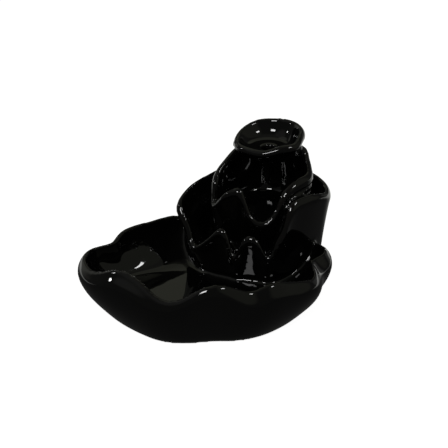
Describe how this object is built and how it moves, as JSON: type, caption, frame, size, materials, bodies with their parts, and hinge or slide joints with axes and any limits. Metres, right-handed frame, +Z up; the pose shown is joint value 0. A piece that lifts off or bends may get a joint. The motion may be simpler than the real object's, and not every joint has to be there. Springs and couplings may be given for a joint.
{
  "type": "backflow incense burner",
  "caption": "Black glazed ceramic backflow incense burner: a cone cup with a smoke hole over scalloped pools that spill into a wide wavy pond.",
  "frame": {"origin": "middle of the whole piece's footprint, on the table", "axes": "+Z up, -Y towards the front (the side the tongues pour to), +X to the right, where the tower stands"},
  "size_m": [0.1229, 0.1051, 0.0759],
  "materials": {
    "glaze": "high-gloss black glaze, slightly thinner and browner on the rims"
  },
  "bodies": {
    "root": {"burner_body": "glaze"}
  },
  "joints": []
}
